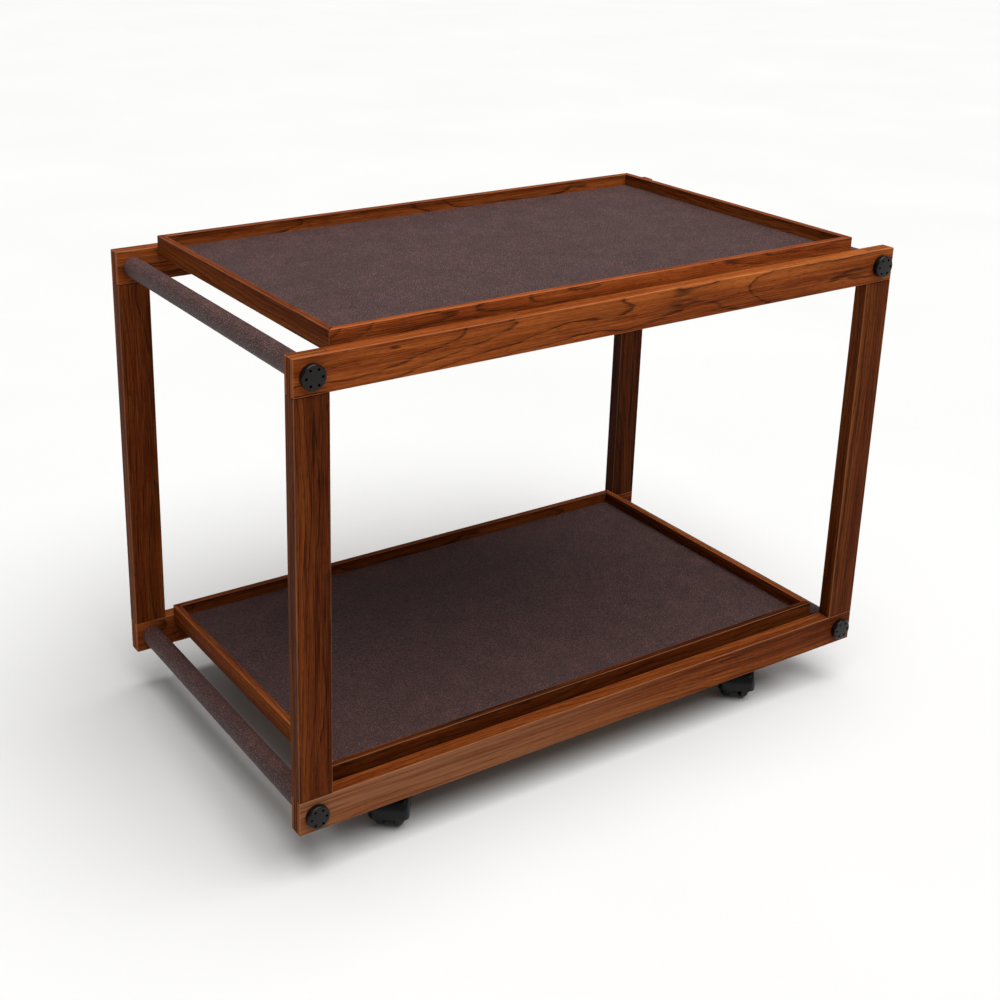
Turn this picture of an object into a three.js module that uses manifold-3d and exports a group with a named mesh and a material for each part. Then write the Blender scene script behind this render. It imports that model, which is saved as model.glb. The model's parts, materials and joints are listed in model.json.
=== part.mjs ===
// A two-tier rolling serving cart: two bolted walnut side frames, leather-wrapped crossbars between them,
// two lift-out leather-lined trays and four twin-wheel castors.
// Millimetres. +X runs along the cart, +Y to its back, +Z up. The origin is on the floor, at the middle.
import * as THREE from "three";
import { mergeVertices } from "three/addons/utils/BufferGeometryUtils.js";
import Module from "manifold-3d";

const wasm = await Module();
wasm.setup();

// ---- driving dimensions ----

const fitGap = 0.2; // left between pieces that touch

// the two side frames
const frameLength = 914;
const frameDepth = 514;
const frameHeight = 594;
const boardHeight = 45; // a rail's height and a leg's width
const boardThickness = 20;
const castorHeight = 62; // floor to the frame's underside

// the corner bolts
const capRadius = 15;
const capHeight = 7.5;
const studRadius = 4;
const studHoleRadius = 4.3;
const studInBar = 35;
const spannerHoleCount = 6;
const spannerHoleRadius = 1.7;
const spannerHoleDepth = 3;
const spannerRingRadius = 10.2;

// the crossbars and their leather
const sleeveRadius = 14;
const sleeveThickness = 1.9;
const coreRadius = 12;
const barHoleDepth = 42;

// the trays
const trayLength = 800;
const trayWidth = 467;
const trayHeight = 27;
const traySink = 10.5; // how far a tray's underside lies below the rail tops
const lowerTraySetBack = 2.8; // the lower tray lies towards the back rail
const traySideThickness = 9;
const grooveDepth = 4;
const grooveBottom = 3;
const trayBaseThickness = 6;
const linerThickness = 1.9;

// what the trays and the castors are held by
const cleatSize = 14;
const cleatLength = 700;
const bearerWidth = 60;
const bearerThickness = 20;

// the castors
const castorX = 292;
const castorY = 194;
const castorHeading = THREE.MathUtils.degToRad(-126); // the way the wheels trail
const castorTrail = 22;
const wheelRadius = 25;
const wheelSides = 24;
const axleRadius = 3;
const axleHalfLength = 17.5;
const wheelBoreRadius = 3.3;
const wheelInnerFace = 7.2; // from the middle of the castor
const webHalfThickness = 6.2;
const webRadius = 16;
const hoodRadius = 28.5;
const hoodHalfWidth = 26;
const hoodTilt = THREE.MathUtils.degToRad(7); // the hood's lower edge rises towards its leading side
const wheelClearance = 1.1;
const kingpinRadius = 4;
const kingpinHoleRadius = 4.4;
const kingpinBottom = 32;
const plateSize = 44;
const plateThickness = 2.5;
const plateScrewRadius = 2;
const plateScrewSpacing = 32;
const raceRadius = 13;
const raceGap = 0.6; // between the turning neck and the fixed race
const neckRadius = 11;
const neckTop = 55.2;

// ---- sizes that follow ----

const boardAxis = boardHeight / 2; // a corner's bolt is this far in from both edges
const boltX = frameLength / 2 - boardAxis;
const boardY = (frameDepth - boardThickness) / 2;
const innerFaceY = frameDepth / 2 - boardThickness;
const tongueThickness = boardThickness / 3;
const bottomRailZ = castorHeight + boardAxis;
const topRailZ = castorHeight + frameHeight - boardAxis;
const barLength = 2 * (innerFaceY - fitGap);
// A flat of the many-sided wheel rests on the floor, half a side round from a corner.
const axleZ = wheelRadius * Math.cos(Math.PI / wheelSides);

// ---- helpers ----

function material(colour, roughness, metalness) {
  return () => new THREE.MeshStandardMaterial({ color: colour, roughness, metalness });
}

const walnut = material("#7a4420", 0.5, 0);
const darkLeather = material("#4b3b3a", 0.6, 0);
const plywood = material("#8a6238", 0.7, 0);
const blackMetal = material("#1c1a19", 0.45, 0.8);
const zincSteel = material("#8d8f92", 0.4, 0.9);
const blackPlastic = material("#121416", 0.5, 0);

// A geometry as a manifold-3d solid, for joining and cutting.
function toSolid(geometry) {
  const bare = geometry.clone();
  bare.deleteAttribute("normal");
  bare.deleteAttribute("uv");
  const merged = mergeVertices(bare, 1e-4);
  return new wasm.Manifold(
    new wasm.Mesh({
      numProp: 3,
      vertProperties: merged.attributes.position.array,
      triVerts: new Uint32Array(merged.index.array),
    }),
  );
}

function toGeometry(solid) {
  const mesh = solid.getMesh();
  const geometry = new THREE.BufferGeometry();
  geometry.setAttribute("position", new THREE.BufferAttribute(mesh.vertProperties, 3));
  geometry.setIndex(new THREE.BufferAttribute(mesh.triVerts, 1));
  geometry.computeVertexNormals();
  return geometry;
}

function joined(...geometries) {
  return toGeometry(geometries.map(toSolid).reduce((all, next) => all.add(next)));
}

function cut(geometry, ...tools) {
  return toGeometry(tools.map(toSolid).reduce((left, tool) => left.subtract(tool), toSolid(geometry)));
}

function box(sizeX, sizeY, sizeZ, x = 0, y = 0, z = 0) {
  return new THREE.BoxGeometry(sizeX, sizeY, sizeZ).translate(x, y, z);
}

// A round bar about a line along Y, from y = from to y = to.
function barAlongY(radius, from, to, x = 0, z = 0, sides = 24) {
  const bar = new THREE.CylinderGeometry(radius, radius, to - from, sides);
  return bar.translate(x, (from + to) / 2, z);
}

// The same about a line along Z.
function barAlongZ(radius, from, to, x = 0, y = 0, sides = 24) {
  const bar = new THREE.CylinderGeometry(radius, radius, to - from, sides);
  return bar.rotateX(Math.PI / 2).translate(x, y, (from + to) / 2);
}

// A profile of [radius, y] points turned about Y, from the axis back to the axis.
function turned(profile, sides) {
  const points = profile.map(([radius, y]) => new THREE.Vector2(radius, y));
  return new THREE.LatheGeometry(points, sides);
}

const cart = new THREE.Group();

function place(parent, name, geometry, finish, x = 0, y = 0, z = 0) {
  const mesh = new THREE.Mesh(geometry, finish());
  mesh.name = name;
  mesh.position.set(x, y, z);
  parent.add(mesh);
  return mesh;
}

const ends = [
  { side: "left", sign: -1 },
  { side: "right", sign: 1 },
];
const faces = [
  { face: "front", sign: -1 },
  { face: "back", sign: 1 },
];
const tiers = [
  { tier: "top", z: topRailZ },
  { tier: "bottom", z: bottomRailZ },
];

// ---- side frames ----

// A rail is forked at both ends: two cheeks with a slot between them for a leg's tongue.
function railGeometry() {
  const rail = box(frameLength, boardThickness, boardHeight);
  const tools = ends.flatMap(({ sign }) => {
    const slotLength = boardHeight + fitGap;
    const slotX = sign * (frameLength / 2 - slotLength / 2 + 1);
    return [
      box(slotLength + 2, tongueThickness, boardHeight + 2, slotX),
      barAlongY(studHoleRadius, -boardThickness, boardThickness, sign * boltX, 0, 16),
    ];
  });
  return cut(rail, ...tools);
}

// A leg butts against both rails, and its tongues run on through their slots to the far edges.
function legGeometry() {
  const shoulder = frameHeight - 2 * boardHeight - 2 * fitGap;
  const body = box(boardHeight, boardThickness, shoulder);
  const tongue = box(boardHeight, tongueThickness - 2 * fitGap, frameHeight);
  const holeZ = (frameHeight - boardHeight) / 2;
  const holes = [holeZ, -holeZ].map((z) =>
    barAlongY(studHoleRadius, -boardThickness, boardThickness, 0, z, 16),
  );
  return cut(joined(body, tongue), ...holes);
}

function addSideFrames() {
  for (const { face, sign: faceSign } of faces) {
    for (const { tier, z } of tiers) {
      place(cart, `${tier}_${face}_rail`, railGeometry(), walnut, 0, faceSign * boardY, z);
    }
    for (const { side, sign } of ends) {
      const middle = castorHeight + frameHeight / 2;
      place(cart, `${face}_${side}_leg`, legGeometry(), walnut, sign * boltX, faceSign * boardY, middle);
    }
  }
}

// ---- crossbars and the bolts that hold them ----

function crossbarGeometry() {
  const half = barLength / 2;
  return cut(
    barAlongY(coreRadius, -half, half),
    barAlongY(studHoleRadius, -half - 1, barHoleDepth - half, 0, 0, 16),
    barAlongY(studHoleRadius, half - barHoleDepth, half + 1, 0, 0, 16),
  );
}

function sleeveGeometry() {
  const half = barLength / 2 - fitGap;
  const bore = barAlongY(sleeveRadius - sleeveThickness + 0.1, -half - 1, half + 1);
  return cut(barAlongY(sleeveRadius, -half, half), bore);
}

// The broad cap and its stud are one turned piece. A ring of blind holes takes a pin spanner.
// It is made with the cap facing +Y and its seat at y = 0.
function boltGeometry() {
  const studLength = boardThickness + studInBar;
  const bolt = turned(
    [
      [0, -studLength],
      [studRadius - 1, -studLength],
      [studRadius, 1 - studLength],
      [studRadius, 0],
      [capRadius, 0],
      [capRadius, capHeight - 2],
      [capRadius - 0.6, capHeight - 0.6],
      [capRadius - 2, capHeight],
      [0, capHeight],
    ],
    24,
  );
  const holes = Array.from({ length: spannerHoleCount }, (_, i) => {
    const angle = (2 * Math.PI * i) / spannerHoleCount;
    const x = spannerRingRadius * Math.cos(angle);
    const z = spannerRingRadius * Math.sin(angle);
    return barAlongY(spannerHoleRadius, capHeight - spannerHoleDepth, capHeight + 1, x, z, 8);
  });
  return cut(bolt, ...holes);
}

function addCrossbars() {
  for (const { side, sign } of ends) {
    for (const { tier, z } of tiers) {
      const x = sign * boltX;
      place(cart, `${tier}_${side}_crossbar`, crossbarGeometry(), walnut, x, 0, z);
      place(cart, `${tier}_${side}_leather_sleeve`, sleeveGeometry(), darkLeather, x, 0, z);
      for (const { face, sign: faceSign } of faces) {
        const y = faceSign * (frameDepth / 2 + fitGap);
        const bolt = place(cart, `${tier}_${face}_${side}_bolt`, boltGeometry(), blackMetal, x, y, z);
        bolt.rotation.z = faceSign > 0 ? 0 : Math.PI;
      }
    }
  }
}

// ---- tray supports and castor bearers ----

function addSupports() {
  const cleatY = innerFaceY - fitGap - cleatSize / 2;
  for (const { tier, z } of tiers) {
    const cleatZ = z + boardAxis - traySink - fitGap - cleatSize / 2;
    for (const { face, sign } of faces) {
      const cleat = box(cleatLength, cleatSize, cleatSize);
      place(cart, `${tier}_${face}_tray_cleat`, cleat, walnut, 0, sign * cleatY, cleatZ);
    }
  }
  for (const { side, sign } of ends) {
    const bearer = box(bearerWidth, barLength, bearerThickness);
    const z = castorHeight + bearerThickness / 2;
    place(cart, `${side}_castor_bearer`, bearer, walnut, sign * castorX, 0, z);
  }
}

// ---- trays ----

// One side of a tray, mitred at both ends. It stands on z = 0, with its outer face
// at y = 0 and the tray at +Y.
// A groove in its inner face takes the base.
function traySideGeometry(length) {
  const outer = length / 2 - fitGap;
  const inner = outer - traySideThickness;
  const plan = new THREE.Shape([
    new THREE.Vector2(-outer, 0),
    new THREE.Vector2(outer, 0),
    new THREE.Vector2(inner, traySideThickness),
    new THREE.Vector2(-inner, traySideThickness),
  ]);
  const board = new THREE.ExtrudeGeometry(plan, { depth: trayHeight, bevelEnabled: false });
  const grooveHeight = trayBaseThickness + 2 * fitGap;
  const grooveZ = grooveBottom - fitGap + grooveHeight / 2;
  const grooveY = traySideThickness - grooveDepth / 2 + 0.5;
  const groove = box(length, grooveDepth + 1, grooveHeight, 0, grooveY, grooveZ);
  return cut(board, groove);
}

function addTray(tier, railTop, setBack) {
  const tray = new THREE.Group();
  tray.position.set(0, setBack, railTop - traySink);
  cart.add(tray);
  const sides = [
    { name: "front_side", length: trayLength, x: 0, y: -trayWidth / 2, turn: 0 },
    { name: "right_end", length: trayWidth, x: trayLength / 2, y: 0, turn: 1 },
    { name: "back_side", length: trayLength, x: 0, y: trayWidth / 2, turn: 2 },
    { name: "left_end", length: trayWidth, x: -trayLength / 2, y: 0, turn: 3 },
  ];
  for (const { name, length, x, y, turn } of sides) {
    const side = place(tray, `${tier}_tray_${name}`, traySideGeometry(length), walnut, x, y);
    side.rotation.z = (turn * Math.PI) / 2;
  }
  const insetOfBase = 2 * (traySideThickness - grooveDepth + fitGap);
  const base = box(trayLength - insetOfBase, trayWidth - insetOfBase, trayBaseThickness);
  place(tray, `${tier}_tray_base`, base, plywood, 0, 0, grooveBottom + trayBaseThickness / 2);
  const insetOfLiner = 2 * (traySideThickness + 2 * fitGap);
  const liner = box(trayLength - insetOfLiner, trayWidth - insetOfLiner, linerThickness);
  const linerZ = grooveBottom + trayBaseThickness + 0.1 + linerThickness / 2;
  place(tray, `${tier}_tray_leather`, liner, darkLeather, 0, 0, linerZ);
}

// ---- castors ----
// A castor is made standing on z = 0 with its swivel on the Z axis and its axle trailing along +X.

// A wheel's outline, from its bore to its domed outer face, as [radius, distance from the castor's middle].
const wheelProfile = [
  [0, axleHalfLength + 1],
  [wheelBoreRadius, axleHalfLength + 1],
  [wheelBoreRadius, wheelInnerFace],
  [wheelRadius - 1, wheelInnerFace],
  [wheelRadius, wheelInnerFace + 1],
  [wheelRadius, 13.5],
  [wheelRadius - 1.6, 17],
  [wheelRadius - 6, 20.6],
  [wheelRadius - 13, 22.4],
  [0, 22.8],
];

// One turned wheel, lying on the +Y side of the castor. A flat of it faces down.
function wheelGeometry() {
  return turned(wheelProfile, wheelSides).rotateY(Math.PI / wheelSides);
}

// The space that a wheel needs to turn in.
function wheelSpace() {
  const grown = [
    [0, wheelInnerFace - 0.9],
    [wheelRadius + wheelClearance, wheelInnerFace - 0.9],
    [wheelRadius + wheelClearance, 14],
    [wheelRadius - 0.3, 18],
    [wheelRadius - 4.6, 21.8],
    [wheelRadius - 12, 23.7],
    [0, 24.1],
  ];
  return turned(grown, wheelSides);
}

// The hood before its wheel spaces are taken out: a domed drum about the axle.
function hoodDrum() {
  const half = [
    [hoodRadius - 14, hoodHalfWidth],
    [hoodRadius - 6, 24],
    [hoodRadius - 1.6, 19.5],
    [hoodRadius, 14],
  ];
  const profile = [
    [0, -hoodHalfWidth],
    ...half.map(([radius, y]) => [radius, -y]),
    ...half.toReversed(),
    [0, hoodHalfWidth],
  ];
  return turned(profile, wheelSides).translate(castorTrail, 0, axleZ);
}

function housingGeometry() {
  // the hood stops just under the axle at the trailing side, and higher at the leading side
  const skirt = box(120, 80, 60, 0, 0, -30).rotateY(hoodTilt);
  const hood = cut(hoodDrum(), skirt.translate(castorTrail, 0, axleZ - 1));
  const web = joined(
    barAlongY(webRadius, -webHalfThickness, webHalfThickness, castorTrail, axleZ),
    box(castorTrail + 10, 2 * webHalfThickness, 24, castorTrail / 2 - 2, 0, axleZ + 12),
    barAlongY(axleRadius, -axleHalfLength, axleHalfLength, castorTrail, axleZ, 12),
  );
  const neck = barAlongZ(neckRadius, axleZ + 14, neckTop);
  const spaces = [1, -1].map((side) => {
    const space = wheelSpace();
    return (side > 0 ? space : space.rotateX(Math.PI)).translate(castorTrail, 0, axleZ);
  });
  const shell = cut(joined(hood, neck), ...spaces);
  return cut(joined(shell, web), barAlongZ(kingpinHoleRadius, kingpinBottom - 1, neckTop + 1, 0, 0, 16));
}

// The fixed half of the castor: a screwed plate, the upper race of its swivel, and the kingpin.
function castorPlateGeometry() {
  const top = castorHeight - fitGap;
  const plate = joined(
    box(plateSize, plateSize, plateThickness, 0, 0, top - plateThickness / 2),
    barAlongZ(raceRadius, neckTop + raceGap, top - 1),
    barAlongZ(kingpinRadius, kingpinBottom, top - 1, 0, 0, 16),
  );
  const corner = plateScrewSpacing / 2;
  const screwHoles = [corner, -corner].flatMap((x) =>
    [corner, -corner].map((y) => barAlongZ(plateScrewRadius, 40, castorHeight + 1, x, y, 8)),
  );
  return cut(plate, ...screwHoles);
}

function addCastor(face, side, x, y) {
  const corner = `${face}_${side}`;
  place(cart, `${corner}_castor_plate`, castorPlateGeometry(), zincSteel, x, y);
  const swivel = new THREE.Group();
  swivel.position.set(x, y, 0);
  swivel.rotation.z = castorHeading;
  cart.add(swivel);
  place(swivel, `${corner}_castor_hood`, housingGeometry(), blackPlastic);
  place(swivel, `${corner}_wheel_a`, wheelGeometry(), blackPlastic, castorTrail, 0, axleZ);
  const farWheel = place(swivel, `${corner}_wheel_b`, wheelGeometry(), blackPlastic, castorTrail, 0, axleZ);
  farWheel.rotation.z = Math.PI;
}

// ---- the cart ----

addSideFrames();
addCrossbars();
addSupports();
addTray("upper", castorHeight + frameHeight, 0);
addTray("lower", castorHeight + boardHeight, lowerTraySetBack);
for (const { face, sign: faceSign } of faces) {
  for (const { side, sign } of ends) {
    addCastor(face, side, sign * castorX, faceSign * castorY);
  }
}

export default cart;
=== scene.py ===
# %% [markdown]
# # A two-tier serving cart
# The cart has two bolted walnut side frames, leather-wrapped crossbars between them, two lift-out trays lined
# with leather, and four twin-wheel castors. The frame that is loaded below already has every piece at its true
# place and size. Here each one is made again with the edges, grain, stitches and screws of the real cart.
# Every piece rides on the body of the piece it stands for, so it moves when the joints do.

# %% Load the frame
import json
import math
import random

import bmesh
import bpy
import numpy as np
from mathutils import Matrix, Vector, noise

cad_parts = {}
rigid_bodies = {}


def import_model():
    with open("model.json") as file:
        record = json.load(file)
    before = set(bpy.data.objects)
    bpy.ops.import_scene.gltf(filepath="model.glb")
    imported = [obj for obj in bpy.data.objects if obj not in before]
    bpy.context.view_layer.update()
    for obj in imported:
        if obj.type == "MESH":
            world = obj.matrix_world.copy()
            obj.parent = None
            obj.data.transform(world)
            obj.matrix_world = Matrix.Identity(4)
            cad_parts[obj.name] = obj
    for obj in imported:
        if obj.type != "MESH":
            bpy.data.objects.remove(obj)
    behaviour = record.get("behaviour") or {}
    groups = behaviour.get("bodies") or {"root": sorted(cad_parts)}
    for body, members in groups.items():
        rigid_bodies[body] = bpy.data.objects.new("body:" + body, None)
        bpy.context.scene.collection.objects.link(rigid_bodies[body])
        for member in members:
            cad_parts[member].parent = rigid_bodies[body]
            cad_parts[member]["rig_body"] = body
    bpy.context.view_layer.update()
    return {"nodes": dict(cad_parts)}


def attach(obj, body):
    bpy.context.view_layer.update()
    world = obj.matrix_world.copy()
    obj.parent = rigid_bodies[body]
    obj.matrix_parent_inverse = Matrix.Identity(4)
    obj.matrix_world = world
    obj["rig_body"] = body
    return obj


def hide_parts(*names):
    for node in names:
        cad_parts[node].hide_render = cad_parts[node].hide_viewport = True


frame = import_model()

MM = 0.001

FACES = {"front": -1, "back": 1}
ENDS = {"left": -1, "right": 1}
TIERS = {"top": "upper", "bottom": "lower"}  # a frame's rail and the tray at its height

# %% [markdown]
# ## Camera
# The cart is seen from its front left and from above. The camera is turned and tilted about four degrees less
# than it would be to face the cart's middle, and a little lens shift brings the cart back into the picture.
# Aiming straight at the cart would need no shift, but its legs would lean in more.

# %% Set up the camera
CAMERA_PLACE = (-1.146, -1.582, 1.174)
CAMERA_HEADING = math.radians(31.8)  # turned from +Y towards +X
CAMERA_TILT = math.radians(19.2)  # downwards
CAMERA_LEAN = math.radians(0.52)

camera = bpy.data.objects.new("camera", bpy.data.cameras.new("camera"))
camera.data.sensor_width = 36
camera.data.lens = 54.3
camera.data.shift_x = 0.1
camera.data.shift_y = -0.139
camera.data.dof.use_dof = False
camera.matrix_world = (
    Matrix.Translation(CAMERA_PLACE)
    @ Matrix.Rotation(-CAMERA_HEADING, 4, "Z")
    @ Matrix.Rotation(math.pi / 2 - CAMERA_TILT, 4, "X")
    @ Matrix.Rotation(CAMERA_LEAN, 4, "Z")
)
bpy.context.collection.objects.link(camera)
bpy.context.scene.camera = camera
bpy.context.scene.view_settings.view_transform = "Standard"
print("camera at", CAMERA_PLACE, "lens", camera.data.lens)

# %% [markdown]
# ## Shader maths as expressions
# Wood and leather are worked out from positions, with a lot of sums. Written as nodes and links, a sum takes
# three lines. So one small class wraps a socket: adding or multiplying two of them makes the Math node and
# links it. Every other node comes from one method, `node`, which takes its type, its settings and its inputs.

# %% Helpers for materials
def linear(hex_colour):
    """A colour such as #7a4420 as the linear RGBA that sockets hold."""
    parts = [int(hex_colour[i : i + 2], 16) / 255 for i in (1, 3, 5)]
    return tuple(c / 12.92 if c <= 0.04045 else ((c + 0.055) / 1.055) ** 2.4 for c in parts) + (1.0,)


class Wire:
    """A socket's value. The operators add the Math node that they stand for."""

    def __init__(self, graph, socket):
        self.graph = graph
        self.socket = socket

    def math(self, operation, *others):
        return self.graph.node("ShaderNodeMath", {"operation": operation}, dict(enumerate((self, *others))))

    def __add__(self, other):
        return self.math("ADD", other)

    def __sub__(self, other):
        return self.math("SUBTRACT", other)

    def __mul__(self, other):
        return self.math("MULTIPLY", other)

    def __truediv__(self, other):
        return self.math("DIVIDE", other)

    def __rsub__(self, other):
        return self * -1 + other

    __radd__ = __add__
    __rmul__ = __mul__


class Graph:
    """A node tree, built up node by node. It may be a material's or a geometry recipe's."""

    def node(self, kind, settings=None, inputs=None, output=0):
        made = self.tree.nodes.new(kind)
        for name, value in (settings or {}).items():
            if name == "stops":
                self.set_stops(made.color_ramp, value)
            else:
                setattr(made, name, value)
        for key, value in (inputs or {}).items():
            socket = self.find(made.inputs, key)
            if isinstance(value, Wire):
                self.tree.links.new(value.socket, socket)
            else:
                socket.default_value = value
        return Wire(self, self.find(made.outputs, output)) if len(made.outputs) else None

    @staticmethod
    def find(sockets, key):
        if isinstance(key, int):
            return sockets[key]
        return next(s for s in sockets if key in (s.identifier, s.name))

    @staticmethod
    def set_stops(ramp, stops):
        while len(ramp.elements) < len(stops):
            ramp.elements.new(0.5)
        for element, (position, colour) in zip(ramp.elements, stops):
            element.position = position
            element.color = colour


class Finish(Graph):
    """One material."""

    def __init__(self, name):
        self.material = bpy.data.materials.new(name)
        self.material.use_nodes = True
        self.tree = self.material.node_tree
        self.tree.nodes.clear()
        self.coordinates = None

    def place(self):
        """The point on the piece, in metres."""
        if self.coordinates is None:
            self.coordinates = self.node("ShaderNodeTexCoord", output="Object")
        return self.coordinates

    def attribute(self, name, output="Fac"):
        return self.node("ShaderNodeAttribute", {"attribute_name": name}, output=output)

    def scaled(self, vector, x, y, z):
        return self.node("ShaderNodeVectorMath", {"operation": "MULTIPLY"}, {0: vector, 1: (x, y, z)})

    def speckle(self, vector, scale=1.0, detail=2.0, roughness=0.5):
        """Noise from 0 to 1."""
        inputs = {"Vector": vector, "Scale": scale, "Detail": detail, "Roughness": roughness}
        return self.node("ShaderNodeTexNoise", {}, inputs)

    def between(self, value, low, high):
        """0 below low, 1 above high, and smooth in between."""
        settings = {"interpolation_type": "SMOOTHSTEP"}
        return self.node("ShaderNodeMapRange", settings, {"Value": value, "From Min": low, "From Max": high})

    def ramp(self, value, stops):
        colours = [(position, linear(colour)) for position, colour in stops]
        return self.node("ShaderNodeValToRGB", {"stops": colours}, {"Fac": value})

    def blend(self, share, first, second, mode="MIX"):
        """first where share is 0 and second where it is 1. Either may be a colour such as #7a4420."""
        first, second = (linear(c) if isinstance(c, str) else c for c in (first, second))
        settings = {"data_type": "RGBA", "blend_type": mode}
        inputs = {"Factor_Float": share, "A_Color": first, "B_Color": second}
        return self.node("ShaderNodeMix", settings, inputs, output="Result_Color")

    def bump(self, height, depth, strength=1.0):
        """A normal for a surface that height raises by up to depth metres."""
        return self.node("ShaderNodeBump", {}, {"Height": height, "Distance": depth, "Strength": strength})

    def surface(self, colour, roughness, normal=None, **constants):
        """Ends the material in one Principled shader."""
        inputs = {"Base Color": linear(colour) if isinstance(colour, str) else colour, "Roughness": roughness}
        if normal is not None:
            inputs["Normal"] = normal
        inputs.update({name.replace("_", " "): value for name, value in constants.items()})
        shader = self.node("ShaderNodeBsdfPrincipled", {}, inputs)
        self.node("ShaderNodeOutputMaterial", {}, {"Surface": shader})
        return self.material


# %% [markdown]
# ## Walnut
# Walnut's figure is its growth rings, cut by the face of a board. A picture of wood wrapped round a board
# doesn't turn the corner, so the rings are worked out in space: each board is placed in an imaginary trunk,
# and a point's ring is its distance from the pith. A slow bend of that distance along the board gives the
# long arches on a flat face and the straight lines on an edge. Pores, fibres and streaks lie along the grain
# too. Each board carries its own place in the trunk in an attribute called grain, x along the board. Others
# say how dark it is, which faces are end grain, where its eased edges get a painted highlight and where it
# meets another board. The front of the lower rail is painted paler and greyer towards its left end, as
# painted light that falls off towards the right.

# %% Oiled walnut
RING_WIDTH = 4.2 * MM


def make_walnut():
    wood = Finish("oiled_walnut")
    grain = wood.attribute("grain", "Vector")
    tone = wood.attribute("tone")
    dull = wood.attribute("dull")
    end = wood.attribute("end_grain")
    edge = wood.attribute("edge")  # 1 on an eased arris, -1 on the edge of a joint, 0 elsewhere
    lengthwise = wood.node("ShaderNodeSeparateXYZ", {}, {"Vector": wood.place()}, "X")

    def along(x, across, detail=2.0, roughness=0.5):
        """Noise with x features to the metre along the board, and so many across it."""
        return wood.speckle(wood.scaled(grain, x, across, across), 1.0, detail, roughness)

    bend = (along(1.9, 6.0, 1.0) - 0.5) * 0.05
    ripple = (along(9.0, 30.0, 2.0) - 0.5) * 0.006
    tremble = (along(30.0, 260.0, 2.0) - 0.5) * 0.0008
    radius = wood.node("ShaderNodeVectorMath", {"operation": "LENGTH"}, {0: wood.scaled(grain, 0, 1, 1)}, "Value")
    phase = ((radius + bend + ripple + tremble) / RING_WIDTH).math("FRACT")
    closing = wood.between(phase, 0.2, 0.94) * (1 - wood.between(phase, 0.95, 1.0))
    line = wood.between(phase, 0.78, 0.93) * (1 - wood.between(phase, 0.93, 0.99))
    fibres = along(16.0, 800.0, 3.0, 0.6)
    strands = along(4.0, 210.0, 2.0, 0.6)
    zones = along(1.3, 46.0, 2.0, 0.55)
    veins = wood.between(along(3.2, 120.0, 2.0, 0.6), 0.53, 0.66) * wood.between(tone, -0.1, -0.7)
    # Painted light: a board's broad faces turn paler and greyer towards the left end, as light falling off towards
    # the right.
    left_light_mask = dull * (1 - wood.between(lengthwise, -0.3, 0.25))
    pores = wood.between(along(70.0, 1500.0, 1.0), 0.57, 0.68) * (1 - end) * (1 - phase * 0.6)

    ground = wood.ramp(zones, [(0.30, "#451b09"), (0.44, "#652c10"), (0.56, "#7f401a"), (0.74, "#985424")])
    closed = wood.blend(closing * 0.4, ground, "#421c0b")
    ringed = wood.blend(line * 0.8, closed, "#1f0b05")
    veined = wood.blend(veins * 0.85, ringed, "#120603")
    stranded = wood.blend(wood.between(strands, 0.35, 0.75) * 0.3, veined, "#4c210d")
    fine = wood.blend(wood.between(fibres, 0.42, 0.74) * 0.4, stranded, "#a9602c")
    pored = wood.blend(pores * 0.7, fine, "#1c0a05")
    cast = wood.blend(tone * 0.5 + 0.5, (0.1, 0.06, 0.045, 1), (1.9, 1.85, 1.75, 1))
    toned = wood.blend(1.0, pored, cast, "MULTIPLY")
    # Painted light: the paler, greyer colour of the lit left end.
    dust_and_light_colour = wood.blend(wood.between(strands, 0.4, 0.62), "#6e4833", "#926a4d")
    left_lit = wood.blend(left_light_mask, toned, dust_and_light_colour)
    cut = wood.blend(end * 0.4, left_lit, "#99572a")
    # Painted highlight: eased arrises are blended towards a pale colour, where light would catch them.
    wear_and_highlight = wood.blend(wood.between(edge, 0.0, 1.0) * 0.16, cut, "#c98f68")
    joined = wood.blend(wood.between(edge, 0.0, -1.0) * 0.85, wear_and_highlight, "#120804")
    roughness = 0.4 + fibres * 0.12 + pores * 0.2 + end * 0.1
    relief = fibres * 0.35 - pores * 0.9 - line * 0.2
    normal = wood.bump(relief, 0.1 * MM, 0.7)
    return wood.surface(joined, roughness, normal, IOR=1.08)


walnut = make_walnut()
print("made", walnut.name, "with", len(walnut.node_tree.nodes), "nodes")

# %% [markdown]
# ## Plywood
# Under each leather floor is a thin plywood panel, which is only seen from below. Its face veneer is peeled
# from a log, so its figure is broad and pale.

# %% Plywood for the tray bases
def make_plywood():
    ply = Finish("birch_plywood")
    grain = ply.attribute("grain", "Vector")
    figure = ply.speckle(ply.scaled(grain, 3.0, 26.0, 26.0), 1.0, 4.0, 0.6)
    fibres = ply.speckle(ply.scaled(grain, 25.0, 900.0, 900.0), 1.0, 2.0, 0.6)
    colour = ply.ramp(figure * 0.75 + fibres * 0.25, [(0.3, "#8c6a48"), (0.5, "#ab8660"), (0.7, "#bd9a72")])
    return ply.surface(colour, 0.6 + fibres * 0.15, ply.bump(fibres, 0.08 * MM, 0.6))


plywood = make_plywood()
print("made", plywood.name)
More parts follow.
